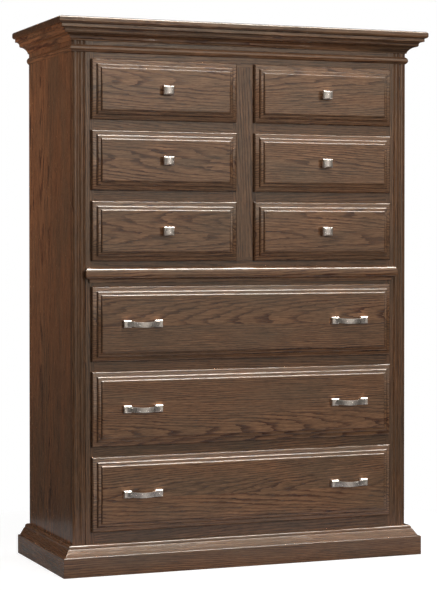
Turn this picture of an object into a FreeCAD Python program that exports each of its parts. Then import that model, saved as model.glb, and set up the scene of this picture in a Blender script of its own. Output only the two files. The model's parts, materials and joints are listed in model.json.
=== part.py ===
import FreeCAD, Part
import math
import os

# Chest of drawers in the chest-on-chest style: six small drawers over three wide ones in one tall case.
# Millimetres. Origin on the floor under the middle of the box, X to the viewer's right, Y to the back, Z up.

# Case
case_width = 1067.0
case_depth = 447.0
side_thickness = 19.0
frame_thickness = 20.0
deck_thickness = 19.0
partition_thickness = 19.0
back_thickness = 6.0
back_rabbet = 10.0
back_lift = 40.0
panel_slack = 0.5

# Top board and crown moulding
top_thickness = 20.0
top_round = 7.0
top_overhang = 53.0
crown_fillet_reach = 44.0
crown_fillet_height = 10.0
crown_neck_reach = 41.0
crown_neck_height = 6.0
crown_neck_depth = 1.5
crown_bead_reach = 31.0
crown_bead_height = 9.0
crown_bead_round = 6.0
crown_cove_top = 23.0
crown_cove_foot = 4.0
crown_cove_height = 15.0
crown_cove_depth = 2.5
crown_foot_height = 3.7

# Half-round bead and the plain frieze above it
bead_height = 21.5
bead_reach = 7.0
frieze_height = 11.5

# Base moulding
plinth_height = 57.0
plinth_reach = 38.0
plinth_round = 5.0
base_ledge_riser = 2.0
base_slope_foot = 31.0
base_slope_top = 18.0
base_slope_height = 19.0
base_slope_hollow = 0.6
base_cap_reach = 15.5
base_cap_height = 11.0
base_cap_round = 8.0

# Waist moulding
waist_lift = 20.0
waist_nose_height = 36.0
waist_reach = 21.0
waist_overlap = 20.0
waist_nose_radius = 12.0
waist_foot_reach = 7.0
waist_foot_height = 10.0

# Face frame
stile_reveal = 55.0
centre_reveal = 56.0
reed_width = 20.0
middle_reed_width = 18.0
reed_rise = 2.0
bottom_reveal = 33.0
lower_gap = 28.5
waist_gap = 72.0
upper_gap = 30.0
top_reveal = 17.8

# Drawer fronts
upper_front_height = 174.0
lower_front_height = 217.5
upper_rows = 3
lower_rows = 3
front_thickness = 24.0
front_overlap = 10.0
front_gap = 1.0
front_lip_height = 13.0
front_lip_round = 5.0
front_lip_width = 14.0
front_step_height = 19.0
front_step_round = 5.0
front_step_width = 25.0
front_field_round = 4.5

# Drawer boxes
box_side = 13.0
box_bottom = 6.0
box_bottom_lift = 12.0
box_groove = 6.0
box_groove_slack = 0.3
box_room_below = 8.0
box_room_above = 16.0
box_tail_room = 2.0
tail_pitch = 45.0
pin_narrow = 7.0
pin_flare = 2.5

# Telescopic slides: case member, carriage and drawer rail, nested with a running gap
slide_thickness = 12.7
slide_half_height = 22.5
slide_wall = 1.2
slide_run_gap = 0.3
slide_lip_room = 1.7
slide_setback = 4.0
slide_back_room = 37.0
cleat_height = 60.0

# Knobs
knob_width = 31.0
knob_height = 26.0
knob_depth = 23.0
knob_head_depth = 13.0
knob_bow = 2.5
knob_bevel = 5.0
knob_side_bevel = 2.5
knob_neck = 14.0
knob_foot = 19.0
knob_foot_depth = 4.0

# Bow pulls
pull_centres = 96.0
pull_inset = 148.5
pull_foot_width = 23.0
pull_foot_height = 21.0
pull_foot_depth = 13.0
pull_foot_bevel = 4.0
pull_foot_side_bevel = 1.2
pull_projection = 26.0
pull_bar_height = 15.0
pull_bar_thickness = 4.5
pull_bar_seat = 8.5
pull_bar_bite = 6.0
pull_bar_shoulder = 34.0
pull_bar_crown = 2.0

# Machine screws of the knobs and pulls
screw_radius = 2.0
screw_bite = 8.0
screw_slack = 0.1
screw_hole_slack = 0.5
screw_head_radius = 4.5
screw_head_height = 2.5
screw_flats = 6

# How far a cut runs past what it cuts
overrun = 5.0

# Rise of a quarter circle's arc over its chord, as a share of its radius
quarter_rise_share = 1.0 - math.cos(math.pi / 4.0)

# Places worked out from the sizes above
half_case = case_width / 2.0
front_y = (top_overhang - case_depth) / 2.0
back_y = front_y + case_depth
frame_back_y = front_y + frame_thickness
back_panel_y = back_y - back_thickness
side_inner_x = half_case - side_thickness

base_mould_height = base_ledge_riser + base_slope_height + base_cap_height
base_height = plinth_height + base_mould_height
crown_height = (
    crown_fillet_height + crown_neck_height + crown_bead_height + crown_cove_height + crown_foot_height
)
lower_start = base_height + bottom_reveal
lower_top = lower_start + lower_rows * lower_front_height + (lower_rows - 1) * lower_gap
upper_start = lower_top + waist_gap
upper_top = upper_start + upper_rows * upper_front_height + (upper_rows - 1) * upper_gap
bead_z = upper_top + top_reveal
crown_z = bead_z + bead_height + frieze_height
case_top = crown_z + crown_height
total_height = case_top + top_thickness

stile_width = stile_reveal + front_overlap
opening_x = half_case - stile_width
half_centre = centre_reveal / 2.0 + front_overlap
lower_front_width = case_width - 2.0 * stile_reveal
upper_front_width = (lower_front_width - centre_reveal) / 2.0
upper_mid_x = (centre_reveal + upper_front_width) / 2.0

waist_mid = lower_top + waist_gap / 2.0
shelf_z = waist_mid - deck_thickness / 2.0
deck_z = lower_start - deck_thickness

slide_start = front_y + slide_setback
slide_end = back_panel_y - slide_back_room
box_front_y = front_y - front_gap
box_back_y = slide_end + box_tail_room
front_back_y = front_y - front_gap
field_y = front_back_y - front_thickness


def point(x, y, z):
    return FreeCAD.Vector(x, y, z)


def block(low, high):
    """Box between two corners."""
    size = [b - a for a, b in zip(low, high)]
    return Part.makeBox(size[0], size[1], size[2], point(*low))


def edge(start, end, rise, place):
    """Straight edge, or an arc that swells by rise to the left of its chord, set in space by place."""
    if rise == 0:
        return Part.LineSegment(place(*start), place(*end)).toShape()
    run = (end[0] - start[0], end[1] - start[1])
    length = math.hypot(*run)
    middle = (
        (start[0] + end[0]) / 2.0 - run[1] / length * rise,
        (start[1] + end[1]) / 2.0 + run[0] / length * rise,
    )
    return Part.Arc(place(*start), place(*middle), place(*end)).toShape()


def face(outline, place):
    """Face of a closed outline. Each corner is (u, v) or (u, v, rise of the arc that arrives there)."""
    edges = []
    for index, corner in enumerate(outline):
        before = outline[index - 1]
        rise = corner[2] if len(corner) > 2 else 0
        edges.append(edge(before[:2], corner[:2], rise, place))
    return Part.Face(Part.Wire(edges))


def prism(outline, place, travel):
    """Solid that an outline sweeps along a straight travel."""
    return face(outline, place).extrude(travel)


def mirrored(shape):
    """The same piece on the other side of the chest's middle plane."""
    return shape.mirror(point(0, 0, 0), point(1, 0, 0))


def rounded(radius):
    """Rise of a convex quarter round on an outline that runs clockwise."""
    return radius * quarter_rise_share


# Case panels

def side_panel():
    """Left side, with a rabbet along its back edge for the back panel."""
    panel = block((-half_case, frame_back_y, 0), (-side_inner_x, back_y, case_top))
    rabbet = block(
        (-side_inner_x - back_rabbet, back_panel_y, -overrun),
        (-side_inner_x + overrun, back_y + overrun, case_top + overrun),
    )
    return panel.cut(rabbet)


def back_panel():
    half = side_inner_x + back_rabbet - panel_slack
    return block((-half, back_panel_y, back_lift), (half, back_y, case_top))


def case_decks():
    """Case bottom, waist shelf and sub top, each between the sides."""
    levels = (deck_z, shelf_z, case_top - deck_thickness)
    return [
        block((-side_inner_x, frame_back_y, z), (side_inner_x, back_panel_y, z + deck_thickness))
        for z in levels
    ]


def centre_partition():
    half = partition_thickness / 2.0
    return block(
        (-half, frame_back_y, shelf_z + deck_thickness),
        (half, back_panel_y, case_top - deck_thickness),
    )


def top_board():
    """Board with both arrises rounded on its front and its two ends."""
    rise = -rounded(top_round)
    half = half_case + top_overhang
    front = front_y - top_overhang
    flat_low = case_top + top_round
    flat_high = total_height - top_round
    along = prism(
        [(back_y, case_top), (back_y, total_height), (front + top_round, total_height),
         (front, flat_high, rise), (front, flat_low), (front + top_round, case_top, rise)],
        lambda y, z: point(-half, y, z),
        point(2.0 * half, 0, 0),
    )
    across = prism(
        [(top_round - half, case_top, rise), (half - top_round, case_top), (half, flat_low, rise),
         (half, flat_high), (half - top_round, total_height, rise), (top_round - half, total_height),
         (-half, flat_high, rise), (-half, flat_low)],
        lambda x, z: point(x, front - overrun, z),
        point(0, back_y - front + 2.0 * overrun, 0),
    )
    return along.common(across)


# Mouldings that run round the front and both sides

def wrapped_moulding(outline, reach, low, high):
    """Front length and two side lengths of one outline (reach from the case, height), mitred."""
    far = reach + overrun
    rise = point(0, 0, high - low + 2.0 * overrun)

    def plan(corners):
        return prism(corners, lambda x, y: point(x, y, low - overrun), rise)

    front = prism(
        outline,
        lambda out, z: point(-half_case - far, front_y - out, z),
        point(2.0 * (half_case + far), 0, 0),
    )
    front_plan = plan([
        (-half_case, front_y), (half_case, front_y),
        (half_case + far, front_y - far), (-half_case - far, front_y - far),
    ])
    side = prism(
        outline,
        lambda out, z: point(-half_case - out, front_y - far, z),
        point(0, back_y - front_y + far, 0),
    )
    side_plan = plan([
        (-half_case, front_y), (-half_case, back_y),
        (-half_case - far, back_y), (-half_case - far, front_y - far),
    ])
    left = side.common(side_plan)
    return [front.common(front_plan), left, mirrored(left)]


def crown_moulding():
    """Fillet under the top board, a small hollow neck, a rounded bead and a long cove down to the case."""
    cove_foot_z = crown_z + crown_foot_height
    cove_top_z = cove_foot_z + crown_cove_height
    neck_foot_z = cove_top_z + crown_bead_height
    neck_top_z = neck_foot_z + crown_neck_height
    outline = [
        (0, crown_z),
        (0, case_top),
        (crown_fillet_reach, case_top),
        (crown_fillet_reach, neck_top_z),
        (crown_neck_reach, neck_top_z),
        (crown_bead_reach, neck_foot_z, -crown_neck_depth),
        (crown_bead_reach, cove_top_z + crown_bead_round),
        (crown_bead_reach - crown_bead_round, cove_top_z, rounded(crown_bead_round)),
        (crown_cove_top, cove_top_z),
        (crown_cove_foot, cove_foot_z, -crown_cove_depth),
        (crown_cove_foot, crown_z),
    ]
    return wrapped_moulding(outline, crown_fillet_reach, crown_z, case_top)


def bead_moulding():
    outline = [(0, bead_z + bead_height), (0, bead_z, bead_reach)]
    return wrapped_moulding(outline, bead_reach, bead_z, bead_z + bead_height)


def base_moulding():
    """Plinth with a rounded top edge, a nearly flat slope above its ledge and a rounded cap."""
    slope_foot_z = plinth_height + base_ledge_riser
    slope_top_z = slope_foot_z + base_slope_height
    outline = [
        (0, 0),
        (0, base_height),
        (base_cap_reach - base_cap_round, base_height),
        (base_cap_reach, base_height - base_cap_round, rounded(base_cap_round)),
        (base_cap_reach, slope_top_z),
        (base_slope_top, slope_top_z),
        (base_slope_foot, slope_foot_z, -base_slope_hollow),
        (base_slope_foot, plinth_height),
        (plinth_reach - plinth_round, plinth_height),
        (plinth_reach, plinth_height - plinth_round, rounded(plinth_round)),
        (plinth_reach, 0),
    ]
    return wrapped_moulding(outline, plinth_reach, 0, base_height)


def waist_moulding():
    """Strip with a rounded nose across the waist rail, its two ends returned to the face frame by mitres."""
    half = lower_front_width / 2.0 + waist_overlap
    high = waist_mid + waist_lift
    nose_foot = high - waist_nose_height
    low = nose_foot - waist_foot_height
    flat_high = high - waist_nose_radius
    flat_low = nose_foot + waist_nose_radius
    nose_rise = rounded(waist_nose_radius)
    nose_back = waist_reach - waist_nose_radius
    along = prism(
        [(0, low), (0, high), (nose_back, high), (waist_reach, flat_high, nose_rise),
         (waist_reach, flat_low), (nose_back, nose_foot, nose_rise),
         (waist_foot_reach, nose_foot), (waist_foot_reach, low)],
        lambda out, z: point(-half, front_y - out, z),
        point(2.0 * half, 0, 0),
    )

    def returned(out):
        return half - waist_reach + out

    across = prism(
        [(-returned(waist_foot_reach), low), (-returned(waist_foot_reach), nose_foot),
         (-returned(nose_back), nose_foot), (-half, flat_low, nose_rise),
         (-half, flat_high), (-returned(nose_back), high, nose_rise),
         (returned(nose_back), high), (half, flat_high, nose_rise),
         (half, flat_low), (returned(nose_back), nose_foot, nose_rise),
         (returned(waist_foot_reach), nose_foot), (returned(waist_foot_reach), low)],
        lambda x, z: point(x, front_y - waist_reach - overrun, z),
        point(0, waist_reach + overrun, 0),
    )
    return along.common(across)


# Face frame

def corner_stile():
    """Left stile. Two grooves part its face into two reeds and a flat."""
    first = -half_case + reed_width
    second = first + middle_reed_width
    outline = [
        (-half_case, frame_back_y),
        (-half_case, front_y + reed_rise),
        (first, front_y + reed_rise, -reed_rise),
        (second, front_y + reed_rise, -reed_rise),
        (second + reed_rise, front_y),
        (-opening_x, front_y),
        (-opening_x, frame_back_y),
    ]
    return prism(outline, lambda x, y: point(x, y, 0), point(0, 0, case_top))


def centre_stile():
    return block(
        (-half_centre, front_y, upper_start + front_overlap),
        (half_centre, frame_back_y, upper_top - front_overlap),
    )


def row_bottoms(start, rows, height, gap):
    return [start + index * (height + gap) for index in range(rows)]


def drawer_rails():
    """Bottom, waist and top rails, and the narrow rails between the rows of drawers."""
    rails = [
        (-opening_x, opening_x, 0, lower_start + front_overlap),
        (-opening_x, opening_x, lower_top - front_overlap, upper_start + front_overlap),
        (-opening_x, opening_x, upper_top - front_overlap, case_top),
    ]
    for bottom in row_bottoms(lower_start, lower_rows, lower_front_height, lower_gap)[1:]:
        rails.append((-opening_x, opening_x, bottom - lower_gap - front_overlap, bottom + front_overlap))
    for bottom in row_bottoms(upper_start, upper_rows, upper_front_height, upper_gap)[1:]:
        low = bottom - upper_gap - front_overlap
        rails.append((-opening_x, -half_centre, low, bottom + front_overlap))
        rails.append((half_centre, opening_x, low, bottom + front_overlap))
    return [
        block((left, front_y, low), (right, frame_back_y, high))
        for left, right, low, high in rails
    ]


# Drawers

def front_tier(width, height, inset, top, radius):
    """One tier of a front. The rounds along its four face edges meet in mitres at its corners."""
    half_width = width / 2.0 - inset
    half_height = height / 2.0 - inset
    tier = block((-half_width, -top, -half_height), (half_width, 0, half_height))
    face_edges = [side for side in tier.Edges if side.BoundBox.YMax < -top / 2.0]
    return tier.makeFillet(radius, face_edges)


def drawer_front(mid_x, low, width, height, screws):
    """Raised front with lip, step and field, shaped about its own middle and then moved to its place."""
    mid_z = low + height / 2.0
    lip = front_tier(width, height, 0, front_lip_height, front_lip_round)
    step = front_tier(width, height, front_lip_width, front_step_height, front_step_round)
    field = front_tier(width, height, front_step_width, front_thickness, front_field_round)
    front = lip.fuse([step, field]).removeSplitter()
    front.translate(point(mid_x, front_back_y, mid_z))
    return front.cut(screw_holes(screws, mid_z))


def rod(x, z, radius, start, end):
    """Rod along Y between two depths, with a few flats for its round."""
    angles = [2.0 * math.pi * index / screw_flats for index in range(screw_flats)]
    return prism(
        [(radius * math.cos(angle), radius * math.sin(angle)) for angle in angles],
        lambda across, up: point(x + across, start, z + up),
        point(0, end - start, 0),
    )


def screw_holes(screws, z):
    """Clearance holes through the front and the sub front."""
    radius = screw_radius + screw_hole_slack
    end = box_front_y + box_side + overrun
    return [rod(x, z, radius, field_y - overrun, end) for x in screws]


def pins(left, right, tail_y, root_y, low, high):
    """Dovetail pins of one corner: narrow at the tails' end, wide at their root, halves at the edges."""
    count = max(2, round((high - low) / tail_pitch))
    shapes = []
    for index in range(count + 1):
        middle = low + index * (high - low) / count
        tip = pin_narrow / 2.0
        root = tip + pin_flare
        outline = [
            (tail_y, max(low, middle - tip)), (root_y, max(low, middle - root)),
            (root_y, min(high, middle + root)), (tail_y, min(high, middle + tip)),
        ]
        shapes.append(prism(outline, lambda y, z: point(left, y, z), point(right - left, 0, 0)))
    return shapes


def drawer_box(mid_x, low, high, half_width, hole_z, screws):
    """Two sides with tails, sub front and back with pins, and a bottom that slides in under the back."""
    inner = half_width - box_side
    inner_front = box_front_y + box_side
    inner_back = box_back_y - box_side
    bottom_low = low + box_bottom_lift
    bottom_high = bottom_low + box_bottom
    panel_half = inner + box_groove - box_groove_slack
    bottom = block(
        (mid_x - panel_half, inner_front - box_groove + box_groove_slack, bottom_low),
        (mid_x + panel_half, box_back_y, bottom_high),
    )
    groove = block(
        (mid_x - inner - box_groove, inner_front - box_groove, bottom_low),
        (mid_x + inner + box_groove, box_back_y + overrun, bottom_high),
    )
    sub_front = block((mid_x - inner, box_front_y, low), (mid_x + inner, inner_front, high))
    back = block((mid_x - inner, inner_back, bottom_high), (mid_x + inner, box_back_y, high))
    sides = []
    for left, right in ((mid_x - half_width, mid_x - inner), (mid_x + inner, mid_x + half_width)):
        front_pins = pins(left, right, box_front_y, inner_front, low, high)
        back_pins = pins(left, right, box_back_y, inner_back, bottom_high, high)
        side = block((left, box_front_y, low), (right, box_back_y, high))
        sides.append(side.cut(front_pins + back_pins + [groove]))
        sub_front = sub_front.fuse(front_pins)
        back = back.fuse(back_pins)
    sub_front = sub_front.removeSplitter().cut([groove] + screw_holes(screws, hole_z))
    return sides + [sub_front, back.removeSplitter(), bottom]


def screw(x, z):
    """Cheese-head screw from inside the drawer, through the box and the front, into the knob or pull."""
    seat = box_front_y + box_side
    shank = rod(x, z, screw_radius, field_y - screw_bite, seat)
    head = rod(x, z, screw_head_radius, seat, seat + screw_head_height)
    return shank.fuse(head)


def screw_socket(x, z):
    """Tapped hole in the back of a knob or a pull's foot."""
    return rod(x, z, screw_radius + screw_slack, field_y - screw_bite - screw_slack, field_y + overrun)


def knob(x, z):
    """Block knob with a bowed face and bevelled edges, on a neck with a flared foot."""
    half_width = knob_width / 2.0
    half_height = knob_height / 2.0
    head_back = knob_depth - knob_head_depth
    side_front = knob_depth - knob_bow
    plan = prism(
        [(-half_width, head_back), (-half_width, side_front - knob_side_bevel),
         (knob_side_bevel - half_width, side_front), (half_width - knob_side_bevel, side_front, knob_bow),
         (half_width, side_front - knob_side_bevel), (half_width, head_back)],
        lambda across, out: point(x + across, field_y - out, z - half_height),
        point(0, 0, knob_height),
    )
    upright = prism(
        [(-half_height, head_back), (-half_height, knob_depth - knob_bevel),
         (knob_bevel - half_height, knob_depth), (half_height - knob_bevel, knob_depth),
         (half_height, knob_depth - knob_bevel), (half_height, head_back)],
        lambda up, out: point(x - half_width, field_y - out, z + up),
        point(knob_width, 0, 0),
    )

    half_foot = knob_foot / 2.0
    half_neck = knob_neck / 2.0
    flare = [(-half_foot, 0), (-half_neck, knob_foot_depth), (half_neck, knob_foot_depth), (half_foot, 0)]
    foot_plan = prism(
        flare,
        lambda across, out: point(x + across, field_y - out, z - half_foot),
        point(0, 0, knob_foot),
    )
    foot_upright = prism(
        flare,
        lambda up, out: point(x - half_foot, field_y - out, z + up),
        point(knob_foot, 0, 0),
    )
    foot = foot_plan.common(foot_upright)
    neck = block(
        (x - half_neck, field_y - head_back, z - half_neck),
        (x + half_neck, field_y - knob_foot_depth, z + half_neck),
    )
    body = plan.common(upright).fuse([foot, neck]).removeSplitter()
    return [body.cut(screw_socket(x, z)), screw(x, z)]


def pull(mid_x, z):
    """Bow pull: two bevelled feet with a flat bar between them that slopes out to its shoulders and bows."""
    half_foot = pull_foot_width / 2.0
    half_height = pull_foot_height / 2.0
    shoulder = pull_foot_depth - pull_foot_bevel
    side_shoulder = pull_foot_depth - pull_foot_side_bevel
    half_face = half_foot - pull_foot_side_bevel
    feet = []
    centres = (mid_x - pull_centres / 2.0, mid_x + pull_centres / 2.0)
    for x in centres:
        plan = prism(
            [(-half_foot, 0), (-half_foot, side_shoulder), (-half_face, pull_foot_depth),
             (half_face, pull_foot_depth), (half_foot, side_shoulder), (half_foot, 0)],
            lambda across, out: point(x + across, field_y - out, z - half_height),
            point(0, 0, pull_foot_height),
        )
        upright = prism(
            [(-half_height, 0), (-half_height, shoulder), (pull_foot_bevel - half_height, pull_foot_depth),
             (half_height - pull_foot_bevel, pull_foot_depth), (half_height, shoulder), (half_height, 0)],
            lambda up, out: point(x - half_foot, field_y - out, z + up),
            point(pull_foot_width, 0, 0),
        )
        feet.append(plan.common(upright))
    half_span = pull_centres / 2.0 + pull_bar_bite
    half_bar = pull_bar_height / 2.0
    shoulder_top = pull_projection - pull_bar_crown
    bar = prism(
        [(-half_span, pull_bar_seat), (-half_span, pull_bar_seat + pull_bar_thickness),
         (-pull_bar_shoulder, shoulder_top), (pull_bar_shoulder, shoulder_top, pull_bar_crown),
         (half_span, pull_bar_seat + pull_bar_thickness), (half_span, pull_bar_seat),
         (pull_bar_shoulder, shoulder_top - pull_bar_thickness),
         (-pull_bar_shoulder, shoulder_top - pull_bar_thickness, -pull_bar_crown)],
        lambda across, out: point(mid_x + across, field_y - out, z - half_bar),
        point(0, 0, pull_bar_height),
    )
    body = bar.fuse(feet).removeSplitter()
    sockets = [screw_socket(x, z) for x in centres]
    return [body.cut(sockets)] + [screw(x, z) for x in centres]


# Slides

def channel(edge_x, side, web, lip, half_height, z):
    """Channel between web and lip, measured from the opening's edge towards the drawer, along the slide."""
    wall = slide_wall if lip > web else -slide_wall
    outline = [
        (web, -half_height), (lip, -half_height), (lip, slide_wall - half_height),
        (web + wall, slide_wall - half_height), (web + wall, half_height - slide_wall),
        (lip, half_height - slide_wall), (lip, half_height), (web, half_height),
    ]
    return prism(
        outline,
        lambda across, up: point(edge_x + side * across, slide_start, z + up),
        point(0, slide_end - slide_start, 0),
    )


def slide(edge_x, side, z):
    """Case member, carriage and drawer rail of one slide. Side is 1 where the drawer is to the right."""
    step = slide_wall + slide_run_gap
    case_member = channel(edge_x, side, 0, slide_thickness - 2.0 * slide_lip_room, slide_half_height, z)
    carriage = channel(edge_x, side, step, slide_thickness - slide_lip_room, slide_half_height - step, z)
    rail = channel(
        edge_x, side, slide_thickness, 2.0 * step, slide_half_height - 2.0 * step, z
    )
    return case_member, carriage, rail


def cleat(edge_x, wall_x, z):
    """Filler between a case wall and the edge of a drawer opening, behind the face frame."""
    return block(
        (min(edge_x, wall_x), frame_back_y, z - cleat_height / 2.0),
        (max(edge_x, wall_x), back_panel_y, z + cleat_height / 2.0),
    )


# Assembly

def drawer_plan():
    """Name, middle, bottom, width and height of every front, with its opening's walls and screw places."""
    plan = []
    wall = partition_thickness / 2.0
    upper_bottoms = row_bottoms(upper_start, upper_rows, upper_front_height, upper_gap)
    lower_bottoms = row_bottoms(lower_start, lower_rows, lower_front_height, lower_gap)
    for row, low in zip(("third", "second", "top"), upper_bottoms):
        for column, sign in (("left", -1.0), ("right", 1.0)):
            edges = sorted((sign * half_centre, sign * opening_x))
            walls = sorted((sign * wall, sign * side_inner_x))
            plan.append({
                "name": row + "_" + column + "_drawer",
                "mid_x": sign * upper_mid_x, "low": low,
                "width": upper_front_width, "height": upper_front_height,
                "edges": edges, "walls": walls, "handle": "knob",
                "screws": [sign * upper_mid_x],
            })
    spread = lower_front_width / 2.0 - pull_inset
    half_span = pull_centres / 2.0
    for row, low in zip(("bottom", "fifth", "fourth"), lower_bottoms):
        plan.append({
            "name": row + "_drawer",
            "mid_x": 0, "low": low,
            "width": lower_front_width, "height": lower_front_height,
            "edges": [-opening_x, opening_x], "walls": [-side_inner_x, side_inner_x],
            "handle": "pulls", "pulls": [-spread, spread],
            "screws": [
                -spread - half_span, -spread + half_span, spread - half_span, spread + half_span,
            ],
        })
    return plan


def build():
    """Every node's solids by name."""
    left_side = side_panel()
    left_stile = corner_stile()
    nodes = {
        "left_side_panel": [left_side],
        "right_side_panel": [mirrored(left_side)],
        "back_panel": [back_panel()],
        "case_decks": case_decks(),
        "centre_partition": [centre_partition()],
        "top_board": [top_board()],
        "crown_moulding": crown_moulding(),
        "bead_moulding": bead_moulding(),
        "base_moulding": base_moulding(),
        "waist_moulding": [waist_moulding()],
        "corner_stiles": [left_stile, mirrored(left_stile)],
        "centre_stile": [centre_stile()],
        "drawer_rails": drawer_rails(),
        "slide_cleats": [],
        "slide_case_members": [],
    }
    for drawer in drawer_plan():
        name = drawer["name"]
        low = drawer["low"]
        mid_x = drawer["mid_x"]
        height = drawer["height"]
        screws = drawer["screws"]
        mid_z = low + height / 2.0
        box_low = low + front_overlap + box_room_below
        box_high = low + height - front_overlap - box_room_above
        slide_z = (box_low + box_high) / 2.0
        left_edge, right_edge = drawer["edges"]
        half_box = (right_edge - left_edge) / 2.0 - slide_thickness
        nodes[name + "_front"] = [drawer_front(mid_x, low, drawer["width"], height, screws)]
        nodes[name + "_box"] = drawer_box(mid_x, box_low, box_high, half_box, mid_z, screws)
        if drawer["handle"] == "knob":
            nodes[name + "_knob"] = knob(mid_x, mid_z)
        else:
            nodes[name + "_pulls"] = [piece for x in drawer["pulls"] for piece in pull(x, mid_z)]
        carriages = []
        rails = []
        for edge_x, side, wall_x in zip(drawer["edges"], (1.0, -1.0), drawer["walls"]):
            case_member, carriage, rail = slide(edge_x, side, slide_z)
            nodes["slide_case_members"].append(case_member)
            nodes["slide_cleats"].append(cleat(edge_x, wall_x, slide_z))
            carriages.append(carriage)
            rails.append(rail)
        nodes[name + "_slide_carriages"] = carriages
        nodes[name + "_slide_rails"] = rails
    return nodes


def main():
    os.makedirs("parts", exist_ok=True)
    for name, solids in build().items():
        shape = solids[0] if len(solids) == 1 else Part.makeCompound(solids)
        shape.exportStep("parts/" + name + ".step")


main()
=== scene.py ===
import json
import math
import random

import bmesh
import bpy
from mathutils import Matrix, Vector

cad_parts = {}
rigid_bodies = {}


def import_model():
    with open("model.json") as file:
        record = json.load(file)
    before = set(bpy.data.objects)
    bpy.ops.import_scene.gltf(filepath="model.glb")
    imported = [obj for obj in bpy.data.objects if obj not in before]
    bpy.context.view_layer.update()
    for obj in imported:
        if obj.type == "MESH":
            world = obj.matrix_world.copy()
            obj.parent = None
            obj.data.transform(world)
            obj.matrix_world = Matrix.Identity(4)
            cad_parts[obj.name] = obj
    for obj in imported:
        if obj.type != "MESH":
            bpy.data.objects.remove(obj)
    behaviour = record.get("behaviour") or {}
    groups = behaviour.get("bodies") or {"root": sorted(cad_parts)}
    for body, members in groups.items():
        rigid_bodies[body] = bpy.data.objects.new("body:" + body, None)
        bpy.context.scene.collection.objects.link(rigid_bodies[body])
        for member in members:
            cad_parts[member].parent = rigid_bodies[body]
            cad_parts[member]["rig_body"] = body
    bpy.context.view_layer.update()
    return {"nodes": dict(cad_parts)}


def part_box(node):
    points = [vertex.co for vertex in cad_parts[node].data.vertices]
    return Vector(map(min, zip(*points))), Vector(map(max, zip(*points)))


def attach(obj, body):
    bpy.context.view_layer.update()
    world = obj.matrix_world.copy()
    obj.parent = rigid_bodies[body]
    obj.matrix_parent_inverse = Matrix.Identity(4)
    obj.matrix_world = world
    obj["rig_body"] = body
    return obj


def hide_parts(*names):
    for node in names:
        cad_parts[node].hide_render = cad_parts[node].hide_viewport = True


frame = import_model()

bl_info = {
    "name": "Stained oak chest on chest",
    "version": (1, 0, 0),
    "blender": (4, 5, 0),
    "location": "View3D > Sidebar > Chest",
    "description": "Dresses the packed chest of drawers with grain, lacquer, hardware and a studio",
    "category": "Object",
}

MM = 0.001
SMALL_DRAWERS = [
    row + "_" + column + "_drawer" for row in ("top", "second", "third") for column in ("left", "right")
]
WIDE_DRAWERS = ["fourth_drawer", "fifth_drawer", "bottom_drawer"]
DRAWERS = SMALL_DRAWERS + WIDE_DRAWERS
FACE_FRAME = ["corner_stiles", "centre_stile", "drawer_rails"]
PLYWOOD_NODES = ["case_decks", "centre_partition", "slide_cleats"]
# How much darker stained end grain is than the face of a board
END_GRAIN = 0.55
# How far a point may lie off a plane and still count as on it
SLACK = 0.1 * MM


def linear(code):
    """Linear colour with full alpha from an sRGB hex value."""
    channels = [int(code[place:place + 2], 16) / 255 for place in (0, 2, 4)]
    return tuple(c / 12.92 if c <= 0.04045 else ((c + 0.055) / 1.055) ** 2.4 for c in channels) + (1.0,)


# Sizes and colours that a user may change

def length(name, description, millimetres):
    return bpy.props.FloatProperty(
        name=name, description=description, default=millimetres * MM, min=0.0, unit="LENGTH", precision=5
    )


def colour(name, description, code):
    return bpy.props.FloatVectorProperty(
        name=name, description=description, default=linear(code), size=4, min=0.0, max=1.0, subtype="COLOR"
    )


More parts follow.
